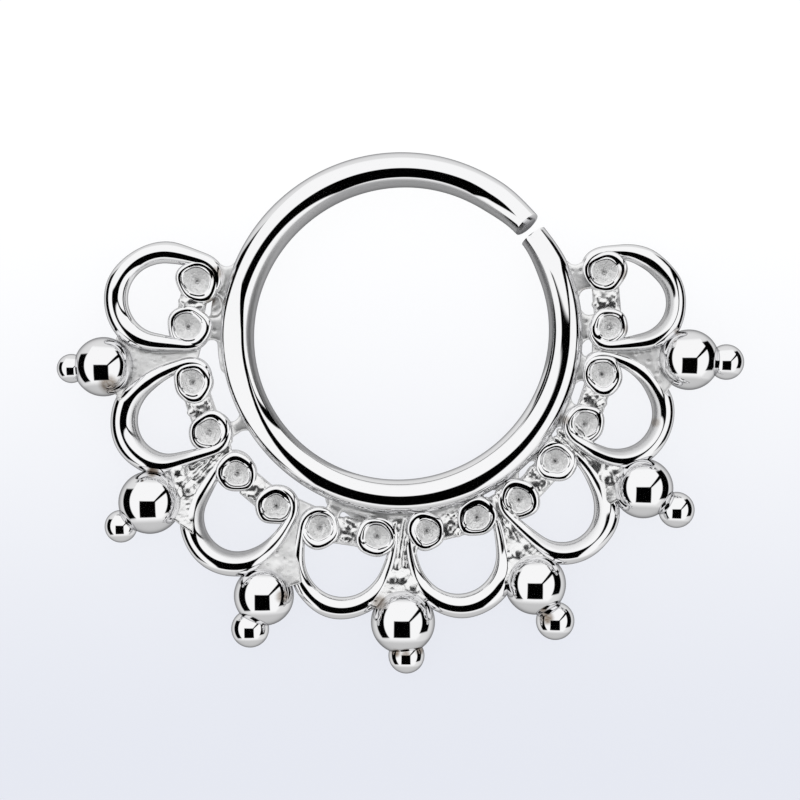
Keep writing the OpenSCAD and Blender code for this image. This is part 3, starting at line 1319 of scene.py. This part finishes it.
@dataclass
class Solder:
    """The solder that holds the fan to the hoop: a band under it and short runs at the curls."""

    scrolls: list[Scroll]
    hoop: Hoop = field(default_factory=Hoop)
    # The sunk copy of the hoop's lower stretch: from and to which angle, its height and its share of the wire.
    sunk: Pair = (158.0, 382.0)
    sunk_z: float = -0.14
    sunk_share: float = 0.88
    sunk_steps: int = 240
    sunk_sides: int = 32
    band: Pair = (248.0, 294.0)
    band_r: float = 6.10
    band_z: float = -0.16
    band_half: float = 0.35
    band_steps: int = 60
    band_sides: int = 24
    # Each joint: angle on the hoop, how far out it reaches and its half width.
    joints: tuple[Triple, ...] = (
        (163.6, 6.95, 0.52), (178.5, 6.95, 0.40), (209.5, 6.75, 0.22), (249.0, 6.70, 0.26), (264.0, 6.55, 0.30),
        (277.5, 6.45, 0.30), (291.5, 6.45, 0.26), (305.5, 6.60, 0.40), (320.5, 6.50, 0.42), (334.0, 6.60, 0.42),
        (349.0, 6.60, 0.40), (2.0, 6.70, 0.42), (17.5, 6.80, 0.46))
    # How a joint flares towards the hoop: radius and share of its half width, and that share at its end.
    flare: tuple[Pair, ...] = ((5.9, 2.0), (6.16, 1.7), (6.30, 1.1), (6.45, 0.95))
    end_flare: float = 1.1
    joint_z: Pair = (-0.26, 0.08)
    # Each thin fill between two joints: from and to which angle, and how far out it reaches.
    fills: tuple[Triple, ...] = ((249.5, 293.5, 6.85), (165.0, 178.5, 6.62), (178.0, 196.0, 6.36))
    fill_z: Pair = (-0.34, -0.16)
    fill_r: float = 5.9
    fill_steps: int = 12
    fill_taper: float = 0.5
    taper_steps: int = 3
    curl_share: float = 0.96
    curl_sides: int = 20
    curls: tuple[Pair, ...] = ((0.02, 0.24), (0.76, 0.98))
    grain: float = 0.05
    passes: int = 14

    def joint(self, angle: float, reach: float, half: float) -> Object:
        """Run one joint.

        Args:
            angle: Its angle on the hoop.
            reach: How far out it reaches.
            half: Its half width.

        Returns:
            The flared plate.
        """
        rows = (*self.flare, (reach, self.end_flare))
        sides = [[Circle(0, 0, r).at(angle + math.degrees(way * half * k / r)) for r, k in rows] for way in (1, -1)]
        return BENCH.plate(sides[0] + sides[1][::-1], *self.joint_z, "Run")

    def fill(self, start: float, end: float, reach: float) -> Object:
        """Fill the corner beside the hoop, tapered at both ends.

        Args:
            start: Angle that it starts from.
            end: Angle that it ends at.
            reach: How far out it reaches.

        Returns:
            The thin plate.
        """
        angles = stops(start, end, self.fill_steps)
        low = reach - self.fill_taper
        rim = [Circle(0, 0, low + self.fill_taper * smooth_step(min(i, self.fill_steps - i) / self.taper_steps)).at(a)
               for i, a in enumerate(angles)]
        return BENCH.plate([Circle(0, 0, self.fill_r).at(a) for a in angles] + rim[::-1], *self.fill_z, "Fill")

    def build(self, metal: Material) -> list[Object]:
        """Run the solder.

        Args:
            metal: Its finish.

        Returns:
            The solder with a sunk copy of the hoop's lower stretch, which it flows into.
        """
        sunk, band = WirePath(), WirePath()
        for angle in stops(*self.sunk, self.sunk_steps):
            half = self.hoop.half_at(angle)
            sunk.points.append(Circle(0, 0, self.hoop.outer_r - half).at(angle) + Vector((0, 0, self.sunk_z)))
            sunk.radii.append(half * self.sunk_share)
        for angle in stops(*self.band, self.band_steps):
            band.points.append(Circle(0, 0, self.band_r).at(angle) + Vector((0, 0, self.band_z)))
            band.radii.append(self.band_half)
        parts = [BENCH.tube(sunk, self.sunk_sides, "Sunk"), BENCH.tube(band, self.band_sides, "Band")]
        parts += [self.joint(*row) for row in self.joints] + [self.fill(*row) for row in self.fills]
        for line in [scroll.path() for scroll in self.scrolls]:
            parts += [BENCH.tube(line.part(*curl, self.curl_share), self.curl_sides, "Curl") for curl in self.curls]
        piece = BENCH.join(parts, "Solder")
        BENCH.melt(piece, self.grain, self.passes)
        return [BENCH.finish(piece, metal)]


@dataclass
class Tent:
    """A soft white light tent, as a world that only the metal's reflections see.

    Places in it are where a mirror ball below the camera shows them, its rim being at distance 1. A pair of places
    that is named an edge is where a change starts and ends.
    """

    tree: NodeTree
    white: float = 1.01
    wall: float = 0.80
    white_edge: Pair = (0.60, 0.70)
    roof_foot: Pair = (0.05, 0.12)
    roof_slant: float = 0.45
    roof_edge: Pair = (0.66, 0.72)
    roof_dim: float = 0.5
    dim_edge: Pair = (0.60, 0.80)
    table: float = 0.60
    table_edge: Pair = (-0.66, -0.46)
    rim: float = 0.78
    rim_edge: Pair = (0.88, 0.99)
    # The opening that the camera looks through: its middle and half its width and height.
    camera_spot: tuple[float, float, float, float] = (-0.03, -0.20, 0.25, 0.26)
    spot_edge: Pair = (0.94, 1.06)
    # The gap at each side is a crescent: height of its middle, radius and thickness.
    side_gap: Triple = (0.04, 0.80, 0.19)
    gap_height: float = 0.43
    gap_slant: float = 0.14
    gap_soft: float = 0.03
    gap_end: float = 0.05
    # The seam runs up to the right: where it starts and ends, its place, how it widens and how soft it is.
    seam: Pair = (0.18, 0.58)
    seam_off: float = 0.15
    seam_spread: float = 0.12
    seam_soft: float = 0.025
    seam_end: float = 0.02
    # Its colour in reflections, and the plain light on all else.
    fabric: str = "#ffffff"
    plain: str = "#f6f7fa"

    def math(self, operation: str, first: Signal, second: Signal = 0.0) -> NodeSocket:
        """Return the result of one sum on sockets or numbers.

        Args:
            operation: The Math node's operation.
            first: A socket or a number.
            second: A socket or a number.

        Returns:
            The output socket.
        """
        node = add_node(self.tree, "ShaderNodeMath", {"operation": operation})
        for spot, value in enumerate((first, second)):
            if isinstance(value, (int, float)):
                node.inputs[spot].default_value = value
            else:
                self.tree.links.new(value, node.inputs[spot])
        return node.outputs[0]

    def step(self, value: NodeSocket, low: float, high: float, before: float = 0.0, beyond: float = 1.0) -> NodeSocket:
        """Return a smooth step of a value.

        Args:
            value: The socket that it follows.
            low: Where the step starts.
            high: Where it ends.
            before: Its result below the step.
            beyond: Its result above the step.

        Returns:
            The output socket.
        """
        node = add_node(self.tree, "ShaderNodeMapRange",
                        {"interpolation_type": "SMOOTHSTEP", "From Min": low, "From Max": high, "To Min": before,
                         "To Max": beyond}, {"Value": value})
        return node.outputs[0]

    def off(self, value: NodeSocket, middle: Signal) -> NodeSocket:
        """Return how far a value is from a middle."""
        return self.math("ABSOLUTE", self.math("SUBTRACT", value, middle))

    def distance(self, u: NodeSocket, v: NodeSocket, x: float, y: float) -> NodeSocket:
        """Return how far a place of the tent is from (x, y)."""
        du, dv = self.math("SUBTRACT", u, x), self.math("SUBTRACT", v, y)
        return self.math("SQRT", self.math("ADD", self.math("MULTIPLY", du, du), self.math("MULTIPLY", dv, dv)))

    def place(self) -> tuple[NodeSocket, NodeSocket]:
        """Find where a mirror ball shows the direction that a ray takes.

        Returns:
            The place across and up.
        """
        way = add_node(self.tree, "ShaderNodeTexCoord")
        axes = add_node(self.tree, "ShaderNodeSeparateXYZ", links={0: way.outputs["Generated"]})
        # The ball shows direction r at r.xy / (2 nz), where nz = sqrt((1 + rz) / 2), kept above zero.
        nz = self.math("SQRT", self.math("MULTIPLY", self.math("ADD", axes.outputs["Z"], 1.00002), 0.5))
        twice = self.math("MULTIPLY", nz, 2.0)
        return self.math("DIVIDE", axes.outputs["X"], twice), self.math("DIVIDE", axes.outputs["Y"], twice)

    def cloth(self, u: NodeSocket, v: NodeSocket) -> NodeSocket:
        """Return the brightness of the cloth: white above, dimmer at the walls, the table and the rim.

        Args:
            u: Place across.
            v: Place up.

        Returns:
            The brightness.
        """
        reach = self.distance(u, v, 0.0, 0.0)
        cloth = self.step(reach, *self.white_edge, self.white, self.wall)
        slanted = self.math("ADD", self.math("ABSOLUTE", u), self.math("MULTIPLY", v, self.roof_slant))
        roof = self.math("MULTIPLY", self.step(v, *self.roof_foot), self.step(v, *self.dim_edge, 1.0, self.roof_dim))
        roof = self.math("MULTIPLY", roof, self.step(slanted, *self.roof_edge, self.white, 0.0))
        cloth = self.math("MAXIMUM", cloth, roof)
        cloth = self.math("MINIMUM", cloth, self.step(v, *self.table_edge, self.table, self.white))
        return self.math("MULTIPLY", cloth, self.step(reach, *self.rim_edge, 1.0, self.rim))

    def lit(self, u: NodeSocket, v: NodeSocket) -> NodeSocket:
        """Return where there is cloth at all, round the camera's opening, the side gaps and the seam.

        Args:
            u: Place across.
            v: Place up.

        Returns:
            1 on cloth, 0 in an opening.
        """
        x, y, wide, high = self.camera_spot
        away = self.math("MAXIMUM", self.math("DIVIDE", self.off(u, x), wide),
                         self.math("DIVIDE", self.off(v, y), high))
        lit = self.step(away, *self.spot_edge)
        rise, far, thick = self.side_gap
        within = self.step(self.distance(u, v, 0.0, rise), far, far + self.gap_soft)
        level = self.math("ADD", self.math("MULTIPLY", u, self.gap_slant), rise)
        ends = self.step(self.off(v, level), self.gap_height, self.gap_height + self.gap_end)
        for aside in (thick, -thick):
            beyond = self.step(self.distance(u, v, aside, rise), far - self.gap_soft, far, 1.0, 0.0)
            lit = self.math("MULTIPLY", lit, self.math("MAXIMUM", ends, self.math("MAXIMUM", within, beyond)))
        start, stop = self.seam
        line = self.off(self.math("SUBTRACT", u, v), self.seam_off)
        line = self.math("SUBTRACT", line, self.math("MULTIPLY", u, self.seam_spread))
        along = self.math("MAXIMUM", self.step(u, start - self.seam_end, start, 1.0, 0.0),
                          self.step(u, stop, stop + self.seam_end))
        return self.math("MULTIPLY", lit, self.math("MAXIMUM", along, self.step(line, 0.0, self.seam_soft)))

    def build(self) -> None:
        """Pitch the tent round the scene, plain and pale to everything but reflections."""
        tree = self.tree
        tree.nodes.clear()
        u, v = self.place()
        level = self.math("MULTIPLY", self.cloth(u, v), self.lit(u, v))
        seen = add_node(tree, "ShaderNodeBackground", {"Color": linear(self.fabric)}, {"Strength": level})
        plain = add_node(tree, "ShaderNodeBackground", {"Color": linear(self.plain), "Strength": 1.0})
        ray = add_node(tree, "ShaderNodeLightPath")
        either = add_node(tree, "ShaderNodeMixShader",
                          links={0: ray.outputs["Is Glossy Ray"], 1: plain.outputs[0], 2: seen.outputs[0]})
        add_node(tree, "ShaderNodeOutputWorld", links={0: either.outputs[0]})


@dataclass
class Studio:
    """A pale floor, a soft light tent and a camera straight above."""

    px_mm: float = 0.0343
    frame_px: int = 800
    hoop_px: Pair = (401.5, 333.5)
    camera_height: float = 0.075
    sensor: float = 36.0
    floor_side: float = 0.6
    floor_near: str = "#e0e3ec"
    floor_far: str = "#ffffff"
    floor_matt: str = "#5f5f60"
    floor_glow: float = 0.925
    # Where across the floor, in metres, its tone starts to turn and has turned.
    floor_fade: Pair = (-0.013, 0.011)
    clip: Pair = (0.005, 10.0)

    def floor(self) -> None:
        """Lay the pale floor, lit from below as well so that it stays even and nearly without shadow."""
        BENCH.fresh()
        bpy.ops.mesh.primitive_plane_add(size=self.floor_side, location=(0, 0, 0))
        floor = BENCH.named("Floor")
        material = bpy.data.materials.new("acrylic_white_satin")
        material.use_nodes = True
        tree = material.node_tree
        tree.nodes.clear()
        place = add_node(tree, "ShaderNodeTexCoord")
        axes = add_node(tree, "ShaderNodeSeparateXYZ", links={0: place.outputs["Object"]})
        fade = add_node(tree, "ShaderNodeMapRange",
                        {"From Min": self.floor_fade[0], "From Max": self.floor_fade[1],
                         "interpolation_type": "SMOOTHSTEP"}, {"Value": axes.outputs["Y"]})
        tone = add_node(tree, "ShaderNodeMix",
                        {"data_type": "RGBA", 6: linear(self.floor_near), 7: linear(self.floor_far)},
                        {0: fade.outputs[0]})
        glow = add_node(tree, "ShaderNodeEmission", {"Strength": self.floor_glow}, {"Color": tone.outputs[2]})
        matt = add_node(tree, "ShaderNodeBsdfDiffuse", {"Color": linear(self.floor_matt)})
        both = add_node(tree, "ShaderNodeAddShader", links={0: glow.outputs[0], 1: matt.outputs[0]})
        clear = add_node(tree, "ShaderNodeBsdfTransparent")
        ray = add_node(tree, "ShaderNodeLightPath")
        shown = add_node(tree, "ShaderNodeMixShader",
                         links={0: ray.outputs["Is Glossy Ray"], 1: both.outputs[0], 2: clear.outputs[0]})
        add_node(tree, "ShaderNodeOutputMaterial", links={0: shown.outputs[0]})
        floor.data.materials.append(material)

    def camera(self) -> None:
        """Hang the camera straight above, framed as the photograph is."""
        middle = self.frame_px / 2
        x = (HOOP_X + (middle - self.hoop_px[0]) * self.px_mm) * MM
        y = (HOOP_Y - (middle - self.hoop_px[1]) * self.px_mm) * MM
        data = bpy.data.cameras.new("Camera")
        data.sensor_width = self.sensor
        data.lens = self.sensor * self.camera_height / (self.frame_px * self.px_mm * MM)
        data.clip_start, data.clip_end = self.clip
        camera = bpy.data.objects.new("Camera", data)
        camera.location = (x, y, self.camera_height + HOOP_Z * MM)
        bpy.context.scene.collection.objects.link(camera)
        bpy.context.scene.camera = camera

    def build(self) -> None:
        """Set the stage."""
        bpy.context.scene.view_settings.view_transform = "Standard"
        world = bpy.data.worlds.new("light_tent")
        bpy.context.scene.world = world
        world.use_nodes = True
        Tent(world.node_tree).build()
        self.floor()
        self.camera()


def report(pieces: list[Object]) -> None:
    """Log each finished piece with its number of faces."""
    for piece in pieces:
        LOG.info("%s: %d faces", piece.name, len(piece.data.polygons))


def main() -> None:
    """Build every piece of the ring and its stage."""
    logging.basicConfig(level=logging.INFO, format="%(name)s: %(message)s")
    polished, frosted, bright = PolishedPlate().build(), FrostedCup().build(), CastSkin().build()
    dull = CastSkin(name="rhodium_plate_tumbled", roughness=0.34, bump=0.5, lump_mm=0.6).build()
    Studio().build()
    LOG.info("stage set")
    report(Hoop().build(polished))
    scrolls = [Scroll(row, i) for i, row in enumerate(SCALLOPS)]
    for scroll in scrolls:
        report(scroll.build(polished))
    report(Cups().build(polished, frosted))
    report(Balls().build(polished))
    report(Casting(scrolls).build(bright, dull))
    report(Solder(scrolls).build(dull))


if __name__ == "__main__":
    main()
